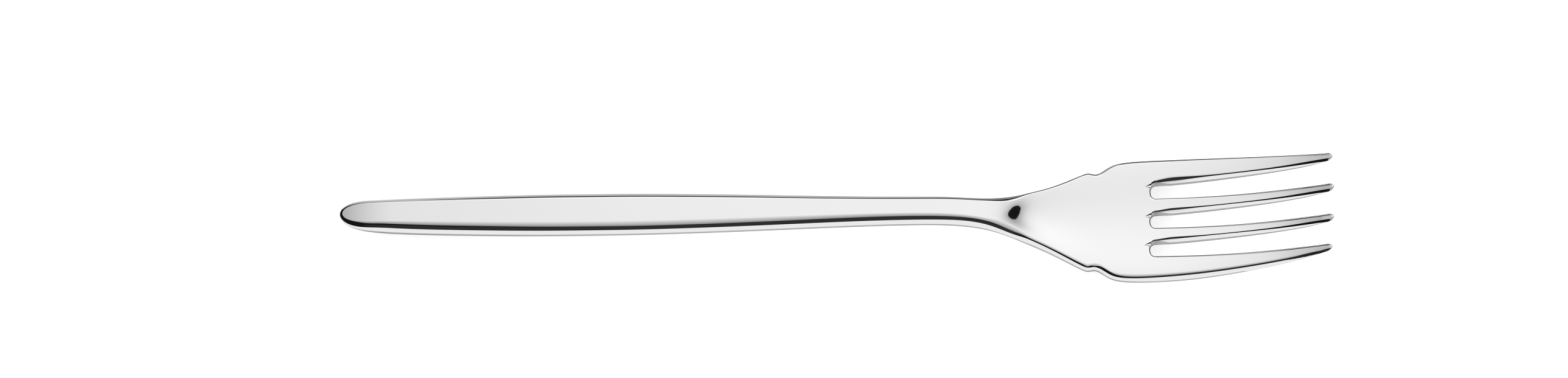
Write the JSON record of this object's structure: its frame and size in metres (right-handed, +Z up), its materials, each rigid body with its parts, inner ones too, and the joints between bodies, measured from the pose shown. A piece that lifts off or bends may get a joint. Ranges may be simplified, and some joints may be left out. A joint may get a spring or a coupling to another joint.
{
  "type": "fish fork",
  "caption": "Polished stainless fish fork with a slim rounded handle, raised neck, notched palm and short curved tines.",
  "frame": {"origin": "on the table, under the middle of the fork", "axes": "+X along the fork towards the tips, +Y across it, +Z up from the table"},
  "size_m": [0.185, 0.0246, 0.0125],
  "materials": {
    "steel": "polished"
  },
  "bodies": {
    "root": {"handle": "steel", "neck": "steel", "palm": "steel", "tine_1": "steel", "tine_2": "steel", "tine_3": "steel", "tine_4": "steel"}
  },
  "joints": []
}
